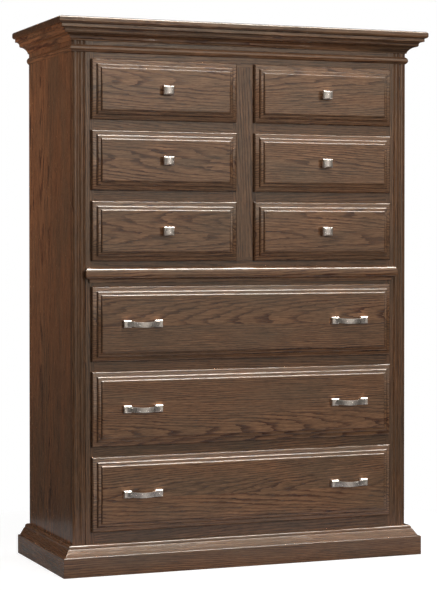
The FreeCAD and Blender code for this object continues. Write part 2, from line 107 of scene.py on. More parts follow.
class ChestSizes(bpy.types.PropertyGroup):
    edge_ease: length("Edge easing", "Width of the sanded edge on the oak boards", 0.9)
    ring_width: length("Ring width", "One year's growth in the oak", 5.2)
    metal_ease: length("Metal easing", "Width of the polished edge on knobs and pulls", 0.6)
    knob_width: length("Knob width", "Width of a knob's block", 31.0)
    knob_height: length("Knob height", "Height of a knob's block", 26.0)
    knob_depth: length("Knob depth", "How far a knob stands off the drawer", 23.0)
    knob_head: length("Knob head", "Depth of a knob's block without its neck", 13.0)
    knob_bevel: length("Knob bevel", "Bevel above and below a knob's face", 2.8)
    knob_side_bevel: length("Knob side bevel", "Bevel left and right of a knob's face", 2.5)
    knob_bow: length("Knob bow", "Rise of a knob's face in its middle", 1.5)
    knob_neck: length("Knob neck", "Width of the square neck behind the block", 14.0)
    knob_foot: length("Knob foot", "Width of the flared foot on the drawer", 19.0)
    knob_foot_depth: length("Knob foot depth", "Depth of the flared foot", 4.0)
    pull_centres: length("Pull centres", "Distance between the two feet of a pull", 96.0)
    pull_inset: length("Pull inset", "From a wide front's end to the middle of its pull", 148.5)
    pull_foot_width: length("Pull foot width", "Width of a pull's foot", 23.0)
    pull_foot_height: length("Pull foot height", "Height of a pull's foot", 21.0)
    pull_foot_depth: length("Pull foot depth", "How far a pull's foot stands off the drawer", 13.0)
    pull_foot_bevel: length("Pull foot bevel", "Bevel above and below a foot's face", 1.8)
    pull_foot_side: length("Pull foot side", "Bevel left and right of a foot's face", 1.2)
    pull_projection: length("Pull projection", "How far the bow of a pull stands off the drawer", 26.0)
    pull_bar_bite: length("Pull bar bite", "How far the bar runs on past the middle of a foot", 1.5)
    pull_bar_shoulder: length("Pull bar shoulder", "From a pull's middle to its bar's slope", 38.0)
    pull_bar_crown: length("Pull bar crown", "Rise of the bow between the bar's shoulders", 6.0)
    pull_bar_droop: length("Pull bar droop", "How far a pull's bar hangs between its shoulders", 3.0)
    pull_bar_height: length("Pull bar height", "Height of a pull's flat bar", 15.0)
    pull_bar_thickness: length("Pull bar thickness", "Thickness of a pull's flat bar", 4.5)
    screw_head: length("Screw head", "Radius of a handle screw's head", 4.5)
    screw_head_height: length("Screw head height", "Height of a handle screw's head", 2.5)
    screw_radius: length("Screw radius", "Radius of a handle screw's shank", 2.0)
    screw_length: length("Screw length", "Length of a handle screw's shank", 45.0)
    sub_front: length("Sub front", "Thickness of a drawer box's sub front", 13.0)
    plinth_height: length("Plinth height", "Height of the base's upright face", 57.0)
    plinth_round: length("Plinth round", "Round on the packed plinth's upper edge", 5.0)
    plinth_edge: length("Plinth edge", "Round that the finished plinth keeps there", 1.6)
    waist_round: length("Waist round", "Round on the packed waist moulding's upper edge", 12.0)
    waist_reach: length("Waist reach", "How far the finished nose reaches back there", 20.0)
    waist_drop: length("Waist drop", "How far the finished nose reaches down there", 15.0)
    slope_foot: length("Slope foot", "Height where the base's slope begins", 59.0)
    slope_top: length("Slope top", "Height where the base's slope ends", 78.0)
    slope_inset: length("Slope inset", "From the plinth's face back to the slope's top", 20.0)
    slope_run: length("Slope run", "How far the slope goes back from foot to top", 12.1)
    lip_width: length("Lip width", "From a front's edge to its step", 14.0)
    lip_foot: length("Lip foot", "Height at which the round of a front's lip starts", 8.0)
    lip_height: length("Lip height", "Height of a front's lip over its back", 13.0)
    lip_fall: length("Lip fall", "How far a lip is planed down at its outer edge", 3.4)
    step_width: length("Step width", "From a front's edge to its raised field", 25.0)
    step_height: length("Step height", "Height of a front's step over its back", 19.0)
    step_fall: length("Step fall", "How far a step is planed down at its outer edge", 1.4)


class ChestColours(bpy.types.PropertyGroup):
    oak_late: colour("Oak latewood", "Paler wood between the rings under the stain", "825d42")
    oak_early: colour("Oak earlywood", "Dark reddish line of each ring", "411f13")
    oak_pore: colour("Oak pore", "Stain caught in the open pores", "28160e")
    oak_grey: colour("Oak grey", "Patches where the stain turns grey", "5e4e3e")
    maple: colour("Maple", "Drawer sides under clear lacquer", "d9bd93")
    maple_line: colour("Maple line", "Thin darker ring lines in the maple", "bf9a6c")
    birch: colour("Birch plywood", "Faces of the inner panels", "cdb188")
    birch_core: colour("Birch core", "Darker plies on the panels' edges", "94714a")
    back: colour("Back panel", "Stained plywood of the back", "7d6149")
    back_line: colour("Back panel line", "Darker rings and plies of the back", "4f3a2b")
    nickel: colour("Satin nickel", "Plated knobs, pulls and screws", "c8c0be")
    zinc: colour("Zinc steel", "Plated slides", "aab0b3")
    floor: colour("Floor", "Studio floor, which the camera sees lit up to white", "9a9a9a")


# Small tools for meshes

def wake(piece):
    """Leaves one piece selected and active."""
    bpy.ops.object.select_all(action="DESELECT")
    piece.select_set(True)
    bpy.context.view_layer.objects.active = piece


def apply(piece, kind, **settings):
    """Adds a modifier with its settings and applies it."""
    wake(piece)
    modifier = piece.modifiers.new(kind.lower(), kind)
    for name, value in settings.items():
        setattr(modifier, name, value)
    bpy.ops.object.modifier_apply(modifier=modifier.name)


def eased(piece, width, segments, limit):
    """Rounds the edges sharper than a limit in degrees and lets broad faces keep their flat shine."""
    if width > 0:
        apply(
            piece, "BEVEL", width=width, segments=segments, limit_method="ANGLE",
            angle_limit=math.radians(limit), use_clamp_overlap=True,
        )
    wake(piece)
    bpy.ops.object.shade_smooth_by_angle(angle=math.radians(40))
    apply(piece, "WEIGHTED_NORMAL", mode="FACE_AREA", weight=80, keep_sharp=True)


def settle(piece, node, slot):
    """Dresses a piece, seats it on its node's body and lets it stand for that node."""
    piece.data.materials.clear()
    piece.data.materials.append(finish(slot))
    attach(piece, frame["nodes"][node]["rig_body"])
    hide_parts(node)


def solids_of(node):
    """Points and faces of each closed solid in a CAD node, its loose triangles joined where they meet."""
    mesh = frame["nodes"][node].data
    solids = []
    points, faces, places, open_edges = [], [], {}, set()
    for polygon in mesh.polygons:
        corners = []
        for number in polygon.vertices:
            place = tuple(round(value, 6) for value in mesh.vertices[number].co)
            if place not in places:
                places[place] = len(points)
                points.append(place)
            corners.append(places[place])
        faces.append(corners)
        for side in zip(corners, corners[1:] + corners[:1]):
            if side[::-1] in open_edges:
                open_edges.remove(side[::-1])
            else:
                open_edges.add(side)
        if not open_edges:
            solids.append((points, faces))
            points, faces, places = [], [], {}
    if faces:
        raise RuntimeError(node + " has a solid that doesn't close")
    return solids


# Boards with grain

# How far the heart of a board's tree strays, in shares of the board's length and width
STRAY_ALONG, STRAY_ACROSS = 0.35, 0.45
# How far a tree leans across a board and through it, in shares of the lean that is asked for
LEAN_ACROSS, LEAN_THROUGH = 0.3, (0.6, 1.2)
# Metres of grain that a board's own stretch is drawn from, and how much its tone may differ
GRAIN_LENGTH, TONE_SPREAD = 40.0, 0.1
# How far a joint between two boards strays, in shares of a board's width
JOINT_STRAY = 0.15


def copy_of(node, name):
    """A piece with a merged copy of a CAD node's mesh, flat faces made whole again."""
    points, faces = [], []
    for solid_points, solid_faces in solids_of(node):
        first = len(points)
        points += solid_points
        faces += [[first + corner for corner in corners] for corners in solid_faces]
    mesh = bpy.data.meshes.new(name)
    mesh.from_pydata(points, [], faces)
    piece = bpy.data.objects.new(name, mesh)
    bpy.context.scene.collection.objects.link(piece)
    wake(piece)
    bpy.ops.object.mode_set(mode="EDIT")
    bpy.ops.mesh.select_all(action="SELECT")
    bpy.ops.mesh.dissolve_limited(angle_limit=math.radians(0.3))
    bpy.ops.object.mode_set(mode="OBJECT")
    return piece


def corners_of(places):
    """Lowest and highest corner of the box around a set of points."""
    low = Vector([min(place[axis] for place in places) for axis in range(3)])
    high = Vector([max(place[axis] for place in places) for axis in range(3)])
    return low, high


def box_of(places):
    """Lowest corner, size and the axes from longest to shortest of the box around a set of points."""
    low, high = corners_of(places)
    size = high - low
    return low, size, sorted(range(3), key=lambda axis: -size[axis])


def glue_up(piece, cuts):
    """Parts a panel's faces where the boards that it is glued from meet, at shares of its width."""
    low, size, axes = box_of([vertex.co for vertex in piece.data.vertices])
    across = axes[1]
    wake(piece)
    bpy.ops.object.mode_set(mode="EDIT")
    for cut in cuts:
        place = low.copy()
        place[across] += cut * size[across]
        way = [0.0, 0.0, 0.0]
        way[across] = 1.0
        bpy.ops.mesh.select_all(action="SELECT")
        bpy.ops.mesh.bisect(plane_co=place, plane_no=way)
    bpy.ops.object.mode_set(mode="OBJECT")


def outer_edge(place, low, high):
    """How far a point lies inside the nearest of the left, right and front faces, and the way out to it."""
    insets = (place.x - low.x, high.x - place.x, place.y - low.y)
    inset = min(insets)
    left, right, front = [one - inset < SLACK for one in insets]
    return inset, Vector((right - left, -front, 0))


def round_again(piece, top, packed, across, down):
    """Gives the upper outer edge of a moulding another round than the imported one, so wide and so high."""
    low, high = corners_of([vertex.co for vertex in piece.data.vertices])
    for vertex in piece.data.vertices:
        below = top - vertex.co.z
        inset, outward = outer_edge(vertex.co, low, high)
        if -SLACK < below < packed + SLACK and inset < packed + SLACK:
            vertex.co += (1 - across / packed) * inset * outward
            vertex.co.z += (1 - down / packed) * below


def shape_base(piece, sizes):
    """Makes the base's slope straight and a little steeper, and the round on the plinth's edge smaller."""
    low, high = corners_of([vertex.co for vertex in piece.data.vertices])
    for vertex in piece.data.vertices:
        height = vertex.co.z
        inset, outward = outer_edge(vertex.co, low, high)
        level = sizes.plinth_height - SLACK < height < sizes.slope_top + SLACK
        if level and sizes.plinth_round + SLACK < inset < sizes.slope_inset + SLACK:
            share = max(0, (height - sizes.slope_foot) / (sizes.slope_top - sizes.slope_foot))
            vertex.co += (inset - sizes.slope_inset + (1 - share) * sizes.slope_run) * outward
    round_again(piece, sizes.plinth_height, sizes.plinth_round, sizes.plinth_edge, sizes.plinth_edge)


def shape_waist(piece, sizes):
    """Gives the waist moulding a flatter nose."""
    top = max(vertex.co.z for vertex in piece.data.vertices)
    round_again(piece, top, sizes.waist_round, sizes.waist_reach, sizes.waist_drop)


def plane_bands(piece, sizes):
    """Planes a front's lip and step to a fall, so that its bands face a little up, down and aside."""
    low, high = corners_of([vertex.co for vertex in piece.data.vertices])
    for vertex in piece.data.vertices:
        place = vertex.co
        inset = min(place.x - low.x, high.x - place.x, place.z - low.z, high.z - place.z)
        height = high.y - place.y
        if sizes.lip_foot - SLACK < height < sizes.lip_height + SLACK:
            share = inset / sizes.lip_width
            place.y += (1 - share) * sizes.lip_fall + share * sizes.step_fall
        elif sizes.lip_height + SLACK < height < sizes.step_height + SLACK:
            share = (inset - sizes.lip_width) / (sizes.step_width - sizes.lip_width)
            place.y += (1 - share) * sizes.step_fall


def boards_of(mesh):
    """Face numbers of each run of connected faces."""
    shape = bmesh.new()
    shape.from_mesh(mesh)
    waiting = set(shape.faces)
    boards = []
    while waiting:
        reached = [waiting.pop()]
        for face in reached:
            for side in face.edges:
                for other in side.link_faces:
                    if other in waiting:
                        waiting.remove(other)
                        reached.append(other)
        boards.append(sorted(face.index for face in reached))
    shape.free()
    return sorted(boards)


def lay_grain(piece, depth, aside, lean, cuts, stain):
    """Gives the corners of each board their grain coordinates in metres, along, across and through. They are
    measured from a tree heart that lies behind the face or aside of it and leans to it. The corners also get
    a tone, darker on end grain."""
    mesh = piece.data
    grain = [0.0] * (3 * len(mesh.loops))
    tone = [1.0] * len(mesh.loops)
    for number, faces in enumerate(boards_of(mesh)):
        places = [mesh.vertices[point].co for face in faces for point in mesh.polygons[face].vertices]
        low, size, (along, across, through) = box_of(places)
        boards = []
        for strip in range(len(cuts) + 1):
            draw = random.Random(piece.name + str(number) + "." + str(strip))
            heart = low + size / 2
            heart[along] += draw.uniform(-STRAY_ALONG, STRAY_ALONG) * size[along]
            heart[across] += draw.uniform(-STRAY_ACROSS, STRAY_ACROSS) * size[across] + aside
            heart[through] += draw.uniform(*depth)
            lean_across = draw.uniform(-LEAN_ACROSS, LEAN_ACROSS) * lean
            lean_through = draw.choice((-1, 1)) * draw.uniform(*LEAN_THROUGH) * lean
            shift = draw.uniform(0.0, GRAIN_LENGTH)
            shade = stain * draw.uniform(1 - TONE_SPREAD, 1 + TONE_SPREAD)
            boards.append((heart, lean_across, lean_through, shift, shade))
        for face in faces:
            polygon = mesh.polygons[face]
            share = (polygon.center[across] - low[across]) / size[across]
            heart, lean_across, lean_through, shift, shade = boards[sum(share > cut for cut in cuts)]
            for corner in polygon.loop_indices:
                run = mesh.vertices[mesh.loops[corner].vertex_index].co - heart
                grain[3 * corner:3 * corner + 3] = (
                    run[along] + shift,
                    run[across] + lean_across * run[along],
                    run[through] + lean_through * run[along],
                )
                tone[corner] = shade * (1 - END_GRAIN * abs(mesh.corner_normals[corner].vector[along]))
    mesh.attributes.new("grain", "FLOAT_VECTOR", "CORNER").data.foreach_set("vector", grain)
    mesh.attributes.new("tone", "FLOAT", "CORNER").data.foreach_set("value", tone)


def wooden(
    node, slot, ease=0.0, depth=(0.03, 0.12), aside=0.0, lean=0.03, boards=1, stain=1.0, reshape=None
):
    """A CAD node's boards as one piece with eased edges and grain, put through a reshape function first.
    The tree's heart lies at a depth behind the face for bold arches or far aside for straight lines, in
    metres. A panel is glued from several boards, and a tone scale below one makes its boards darker."""
    piece = copy_of(node, node + "_wood")
    if reshape:
        reshape(piece, bpy.context.scene.chest_sizes)
    draw = random.Random(node)
    cuts = [(number + draw.uniform(-JOINT_STRAY, JOINT_STRAY)) / boards for number in range(1, boards)]
    if cuts:
        glue_up(piece, cuts)
    eased(piece, ease, segments=2, limit=35)
    lay_grain(piece, depth, aside, lean, cuts, stain)
    settle(piece, node, slot)


# Hardware, modelled with the drawer's face as y = 0 and the room in front of it along -y

# Ways that a face may look: out to the room, back to the drawer and along a bar
OUT, BACK, ALONG = Vector((0.0, -1.0, 0.0)), Vector((0.0, 1.0, 0.0)), Vector((1.0, 0.0, 0.0))
# How squarely a face has to look that way to be picked
SQUARELY = 0.9
# Width and length of each arm of a screw's cross recess as shares of the head's radius, and its taper
RECESS_WIDTH, RECESS_LENGTH, RECESS_TAPER = 0.26, 1.1, 0.6
# Round on a screw's head as a share of the head's height
HEAD_ROUND = 0.4


def start(operator, name, **settings):
    """Adds a primitive, selected alone, and opens it in edit mode."""
    bpy.ops.object.select_all(action="DESELECT")
    operator(**settings)
    piece = bpy.context.object
    piece.name = name
    bpy.ops.object.transform_apply(location=True, rotation=True, scale=True)
    bpy.ops.object.mode_set(mode="EDIT")
    bpy.ops.mesh.select_mode(type="FACE")
    return piece


def pick(piece, way):
    """Selects the faces that look one way, and nothing else."""
    bpy.ops.mesh.select_all(action="DESELECT")
    shape = bmesh.from_edit_mesh(piece.data)
    for face in shape.faces:
        face.select_set(face.normal.dot(way) > SQUARELY)
    bmesh.update_edit_mesh(piece.data)


def extrude(travel, stretch=(1.0, 1.0, 1.0), centre=(0.0, 0.0, 0.0)):
    """Draws the selected faces out and stretches their new end about a centre."""
    bpy.ops.mesh.extrude_region_move(TRANSFORM_OT_translate={"value": travel})
    bpy.ops.transform.resize(value=stretch, center_override=centre)


def model_knob(sizes):
    """Block with a bevelled and bowed face, on a square neck with a flared foot."""
    width, height, bevel = sizes.knob_width, sizes.knob_height, sizes.knob_bevel
    back = sizes.knob_depth - sizes.knob_head
    shoulder = sizes.knob_depth - sizes.knob_bow - bevel
    half_face = width / 2 - sizes.knob_side_bevel
    neck, foot = sizes.knob_neck, sizes.knob_foot
    piece = start(
        bpy.ops.mesh.primitive_cube_add, "knob_pattern", size=1.0,
        location=(0.0, -(back + shoulder) / 2, 0.0), scale=(width, shoulder - back, height),
    )
    pick(piece, OUT)
    extrude((0.0, -bevel, 0.0), (2 * half_face / width, 1.0, 1 - 2 * bevel / height))
    pick(piece, BACK)
    extrude((0.0, 0.0, 0.0), (neck / width, 1.0, neck / height))
    extrude((0.0, back - sizes.knob_foot_depth, 0.0))
    extrude((0.0, sizes.knob_foot_depth, 0.0), (foot / neck, 1.0, foot / neck))
    # The face is parted into upright strips, whose edges then move out to the bow
    strips = [half_face * share for share in (-0.75, -0.5, -0.25, 0.0, 0.25, 0.5, 0.75)]
    for place in strips:
        bpy.ops.mesh.select_all(action="SELECT")
        bpy.ops.mesh.bisect(plane_co=(place, 0.0, 0.0), plane_no=(1.0, 0.0, 0.0))
    bpy.ops.mesh.select_mode(type="VERT")
    for place in strips:
        bpy.ops.mesh.select_all(action="DESELECT")
        shape = bmesh.from_edit_mesh(piece.data)
        for vertex in shape.verts:
            on_face = vertex.co.y < -(shoulder + bevel / 2)
            vertex.select_set(on_face and abs(vertex.co.x - place) < SLACK)
        shape.select_flush_mode()
        bmesh.update_edit_mesh(piece.data)
        bow = sizes.knob_bow * (1 - (place / half_face) ** 2)
        bpy.ops.transform.translate(value=(0.0, -bow, 0.0))
    bpy.ops.object.mode_set(mode="OBJECT")
    eased(piece, sizes.metal_ease, segments=3, limit=30)
    return piece


def model_pull(sizes):
    """Flat bar that slopes out of two bevelled feet, and bows and hangs a little between its shoulders."""
    half, thick = sizes.pull_centres / 2, sizes.pull_bar_thickness
    end, shoulder, crown = half + sizes.pull_bar_bite, sizes.pull_bar_shoulder, sizes.pull_bar_crown
    seat = sizes.pull_foot_depth - thick
    rise = sizes.pull_projection - sizes.pull_foot_depth
    # Places along half of the bar, with how far out its back is there: up the slope, then over the bow
    places = [(-end, seat)]
    for left in (0.5, 0.15):
        places.append((-shoulder - left * (end - shoulder), seat + (1 - left) * (rise - crown)))
    for share in (0.88, 0.66, 0.44, 0.22):
        places.append((-shoulder * share, seat + rise - crown * share ** 2))
    places += [(0.0, seat + rise)] + [(-along, out) for along, out in reversed(places)]
    (first, first_out), (second, second_out) = places[:2]
    bar = start(
        bpy.ops.mesh.primitive_cube_add, "pull_pattern", size=1.0,
        location=((first + second) / 2, -first_out - thick / 2, 0.0),
        scale=(second - first, thick, sizes.pull_bar_height),
    )
    pick(bar, ALONG)
    bpy.ops.transform.translate(value=(0.0, first_out - second_out, 0.0))
    for (here, here_out), (there, there_out) in zip(places[1:], places[2:]):
        hung = [max(0, 1 - (along / shoulder) ** 2) * sizes.pull_bar_droop for along in (here, there)]
        extrude((there - here, here_out - there_out, hung[0] - hung[1]))
    bpy.ops.object.mode_set(mode="OBJECT")
    width, height, bevel = sizes.pull_foot_width, sizes.pull_foot_height, sizes.pull_foot_bevel
    block = sizes.pull_foot_depth - bevel
    for middle_x in (-half, half):
        foot = start(
            bpy.ops.mesh.primitive_cube_add, "foot_pattern", size=1.0,
            location=(middle_x, -block / 2, 0.0), scale=(width, block, height),
        )
        pick(foot, OUT)
        stretch = (1 - 2 * sizes.pull_foot_side / width, 1.0, 1 - 2 * bevel / height)
        extrude((0.0, -bevel, 0.0), stretch, (middle_x, 0.0, 0.0))
        bpy.ops.object.mode_set(mode="OBJECT")
        apply(bar, "BOOLEAN", operation="UNION", object=foot, solver="EXACT")
        bpy.data.objects.remove(foot)
    eased(bar, sizes.metal_ease, segments=2, limit=30)
    return bar


def model_screw(sizes):
    """Pan-head screw with a cross recess, its head's seat at y = 0 and its shank along -y."""
    radius, rise = sizes.screw_head, sizes.screw_head_height
    screw = start(
        bpy.ops.mesh.primitive_cylinder_add, "screw_pattern", vertices=24, radius=radius, depth=rise,
        location=(0.0, rise / 2, 0.0), rotation=(math.radians(90), 0.0, 0.0),
    )
    pick(screw, OUT)
    share = sizes.screw_radius / radius
    extrude((0.0, 0.0, 0.0), (share, 1.0, share))
    extrude((0.0, -sizes.screw_length, 0.0))
    pick(screw, BACK)
    bpy.ops.mesh.bevel(offset=HEAD_ROUND * rise, segments=3, affect="EDGES")
    bpy.ops.object.mode_set(mode="OBJECT")
    for size_x, size_z in ((RECESS_WIDTH, RECESS_LENGTH), (RECESS_LENGTH, RECESS_WIDTH)):
        cutter = start(
            bpy.ops.mesh.primitive_cube_add, "recess_pattern", size=1.0,
            location=(0.0, rise, 0.0), scale=(size_x * radius, rise, size_z * radius),
        )
        pick(cutter, OUT)
        bpy.ops.transform.resize(value=(RECESS_TAPER, 1.0, RECESS_TAPER))
        bpy.ops.object.mode_set(mode="OBJECT")
        apply(screw, "BOOLEAN", operation="DIFFERENCE", object=cutter, solver="EXACT")
        bpy.data.objects.remove(cutter)
    wake(screw)
    bpy.ops.object.shade_smooth_by_angle(angle=math.radians(35))
    return screw


def copy_to(pattern, name, place, node, slot):
    """A copy of a pattern with its own mesh, at its place, standing for part of a node."""
    piece = pattern.copy()
    piece.data = pattern.data.copy()
    piece.name = name
    piece.data.transform(Matrix.Translation(place))
    bpy.context.scene.collection.objects.link(piece)
    settle(piece, node, slot)


def face_of(drawer):
    """Middle of a drawer front's outer face."""
    low, high = [Vector(corner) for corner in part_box(drawer + "_front")]
    return Vector(((low.x + high.x) / 2, low.y, (low.z + high.z) / 2))


def pull_places(drawer, sizes):
    """Middles of the two pulls of a wide drawer, by side."""
    low, high = [Vector(corner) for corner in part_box(drawer + "_front")]
    reach = Vector(((high.x - low.x) / 2 - sizes.pull_inset, 0.0, 0.0))
    return {"left": face_of(drawer) - reach, "right": face_of(drawer) + reach}


# Materials

# Places of the share and the two colours among a colour mix node's inputs
SHARE, FIRST, SECOND = 0, 6, 7
# Settings that many nodes share
COLOUR_MIX = {"data_type": "RGBA"}
SOFT_ENDS = {"interpolation_type": "SMOOTHSTEP"}
MULTIPLY = {"operation": "MULTIPLY"}
MULTIPLY_ADD = {"operation": "MULTIPLY_ADD"}


def add(tree, kind, settings=None, inputs=None, output=None):
    """Adds a node with its settings and its inputs, each a value or another node's output, and gives back
    the output that is named or else the first in use."""
    node = tree.nodes.new(kind)
    for name, value in (settings or {}).items():
        setattr(node, name, value)
    for name, value in (inputs or {}).items():
        if isinstance(value, bpy.types.NodeSocket):
            tree.links.new(value, node.inputs[name])
        else:
            node.inputs[name].default_value = value
    if output:
        return node.outputs[output]
    return next((socket for socket in node.outputs if socket.enabled), None)


def blank(name):
    """A material with an empty node tree."""
    material = bpy.data.materials.new(name)
    material.use_nodes = True
    material.node_tree.nodes.clear()
    return material, material.node_tree


def grain_noise(tree, grain, patterns):
    """Noise by name, drawn out along the grain. A pattern has a name, a length along the grain and a width
    across it in millimetres, and its detail."""
    noise = {}
    for name, along, across, detail in patterns:
        scale = (1 / (along * MM), 1 / (across * MM), 1 / (across * MM))
        place = add(tree, "ShaderNodeVectorMath", MULTIPLY, {0: grain, 1: scale})
        noise[name] = add(
            tree, "ShaderNodeTexNoise", None, {"Vector": place, "Scale": 1.0, "Detail": detail}
        )
    return noise


def stained_oak(sizes, colours):
    """Flat-sawn oak, stained grey brown and lacquered satin: dark reddish lines that sweep into arches on
    the face, paler wood between them and short dark pores along the grain, under a soft gloss."""
    material, tree = blank("lacquered_oak")
    grain = add(tree, "ShaderNodeAttribute", {"attribute_name": "grain"}, output="Vector")
    tone = add(tree, "ShaderNodeAttribute", {"attribute_name": "tone"}, output="Fac")

    # Real pores are 0.3 mm wide, and here five times that, so that they show
    noise = grain_noise(tree, grain, (
        ("sway", 700, 80, 1.0), ("jag", 90, 12, 3.0), ("fray", 24, 2.4, 2.0), ("streaks", 110, 4.0, 3.0),
        ("strength", 240, 36, 2.0), ("patches", 260, 90, 3.0), ("pores", 26, 1.5, 2.0),
    ))

    # Distance from the heart, bent by slow sways and by small jags, then counted in years
    flat = add(tree, "ShaderNodeVectorMath", MULTIPLY, {0: grain, 1: (0.0, 1.0, 1.0)})
    reach = add(tree, "ShaderNodeVectorMath", {"operation": "LENGTH"}, {0: flat}, "Value")
    for name, swing in (("sway", 26), ("jag", 6.5), ("fray", 1.6)):
        reach = add(tree, "ShaderNodeMath", MULTIPLY_ADD, {0: noise[name], 1: swing * MM, 2: reach})
    years = add(tree, "ShaderNodeMath", {"operation": "DIVIDE"}, {0: reach, 1: sizes.ring_width})
    ring = add(tree, "ShaderNodeMath", {"operation": "FRACT"}, {0: years})
    line = add(
        tree, "ShaderNodeMapRange", SOFT_ENDS,
        {"Value": ring, "From Min": 0.08, "From Max": 0.48, "To Min": 1.0, "To Max": 0.0},
    )
    strength = add(
        tree, "ShaderNodeMapRange", None,
        {"Value": noise["strength"], "From Min": 0.35, "From Max": 0.65, "To Min": 0.5, "To Max": 1.0},
    )
    early = add(tree, "ShaderNodeMath", MULTIPLY, {0: line, 1: strength})

    rings = {SHARE: early, FIRST: colours.oak_late, SECOND: colours.oak_early}
    wood = add(tree, "ShaderNodeMix", COLOUR_MIX, rings)
    patches = add(
        tree, "ShaderNodeMapRange", None,
        {"Value": noise["patches"], "From Min": 0.42, "From Max": 0.68, "To Min": 0.0, "To Max": 0.5},
    )
    wood = add(tree, "ShaderNodeMix", COLOUR_MIX, {SHARE: patches, FIRST: wood, SECOND: colours.oak_grey})
    pores = add(
        tree, "ShaderNodeMapRange", None, {"Value": noise["pores"], "From Min": 0.49, "From Max": 0.63}
    )
    crowding = add(tree, "ShaderNodeMath", MULTIPLY_ADD, {0: early, 1: 0.5, 2: 0.38})
    pores = add(tree, "ShaderNodeMath", MULTIPLY, {0: pores, 1: crowding})
    wood = add(tree, "ShaderNodeMix", COLOUR_MIX, {SHARE: pores, FIRST: wood, SECOND: colours.oak_pore})
    shade = add(
        tree, "ShaderNodeMapRange", None,
        {"Value": noise["streaks"], "From Min": 0.3, "From Max": 0.7, "To Min": 0.68, "To Max": 1.32},
    )
    shade = add(tree, "ShaderNodeMath", MULTIPLY, {0: shade, 1: tone})
    wood = add(tree, "ShaderNodeVectorMath", {"operation": "SCALE"}, {0: wood, "Scale": shade})

    roughness = add(tree, "ShaderNodeMath", MULTIPLY_ADD, {0: pores, 1: 0.3, 2: 0.14})
    height = add(tree, "ShaderNodeMath", {"operation": "ADD"}, {0: early, 1: pores})
    bump = add(
        tree, "ShaderNodeBump", {"invert": True},
        {"Strength": 0.2, "Distance": 0.15 * MM, "Height": height},
    )
    shader = add(
        tree, "ShaderNodeBsdfPrincipled", None,
        {"Base Color": wood, "Roughness": roughness, "Normal": bump, "IOR": 1.5},
    )
    add(tree, "ShaderNodeOutputMaterial", None, {"Surface": shader})
    return material


def plain_wood(name, pale, dark, ring, plies):
    """Maple, birch or stained plywood under clear lacquer: close-grained wood with faint ring lines and
    short flecks. Where plies is set, the edges of a panel show its layers in turn pale and dark."""
    material, tree = blank(name)
    grain = add(tree, "ShaderNodeAttribute", {"attribute_name": "grain"}, output="Vector")
    tone = add(tree, "ShaderNodeAttribute", {"attribute_name": "tone"}, output="Fac")
    noise = grain_noise(tree, grain, (("lines", 420, ring, 4.0), ("flecks", 9, 0.8, 2.0)))
    share = add(
        tree, "ShaderNodeMapRange", None,
        {"Value": noise["lines"], "From Min": 0.35, "From Max": 0.75, "To Min": 0.0, "To Max": 0.55},
    )
    if plies:
        through = add(tree, "ShaderNodeSeparateXYZ", None, {0: grain}, "Z")
        layer = add(tree, "ShaderNodeMath", {"operation": "PINGPONG"}, {0: through, 1: plies * MM})
        stripe = add(tree, "ShaderNodeMath", {"operation": "GREATER_THAN"}, {0: layer, 1: plies * MM / 2})
        share = add(tree, "ShaderNodeMath", {"operation": "MAXIMUM"}, {0: stripe, 1: share})
    wood = add(tree, "ShaderNodeMix", COLOUR_MIX, {SHARE: share, FIRST: pale, SECOND: dark})
    wood = add(tree, "ShaderNodeVectorMath", {"operation": "SCALE"}, {0: wood, "Scale": tone})
    roughness = add(
        tree, "ShaderNodeMapRange", None,
        {"Value": noise["flecks"], "From Min": 0.3, "From Max": 0.7, "To Min": 0.38, "To Max": 0.52},
    )
    bump = add(
        tree, "ShaderNodeBump", None, {"Strength": 0.15, "Distance": 0.1 * MM, "Height": noise["flecks"]}
    )
    shader = add(
        tree, "ShaderNodeBsdfPrincipled", None,
        {"Base Color": wood, "Roughness": roughness, "Normal": bump, "IOR": 1.5},
    )
    add(tree, "ShaderNodeOutputMaterial", None, {"Surface": shader})
    return material


def brushed_metal(name, tint, rough, along, across, shade):
    """Plated metal with fine brushing: streaks that stir the gloss and clouds that stir the tint."""
    material, tree = blank(name)
    place = add(tree, "ShaderNodeTexCoord", output="Object")
    scale = tuple(1 / (size * MM) for size in (along, across, across))
    drawn = add(tree, "ShaderNodeVectorMath", MULTIPLY, {0: place, 1: scale})
    streaks = add(tree, "ShaderNodeTexNoise", None, {"Vector": drawn, "Scale": 1.0, "Detail": 3.0})
    clouds = add(tree, "ShaderNodeTexNoise", None, {"Vector": place, "Scale": 60.0, "Detail": 2.0})
    dim = tuple(value * shade for value in tint[:3]) + (1.0,)
    tinted = add(tree, "ShaderNodeMix", COLOUR_MIX, {SHARE: clouds, FIRST: dim, SECOND: tint})
    roughness = add(
        tree, "ShaderNodeMapRange", None,
        {
            "Value": streaks, "From Min": 0.3, "From Max": 0.7,
            "To Min": rough - 0.06, "To Max": rough + 0.08,
        },
    )
    bump = add(tree, "ShaderNodeBump", None, {"Strength": 0.08, "Distance": 0.05 * MM, "Height": streaks})
    shader = add(
        tree, "ShaderNodeBsdfPrincipled", None,
        {"Base Color": tinted, "Metallic": 1.0, "Roughness": roughness, "Normal": bump},
    )
    add(tree, "ShaderNodeOutputMaterial", None, {"Surface": shader})
    return material


# Finishes made so far, by slot
FINISHES = {}


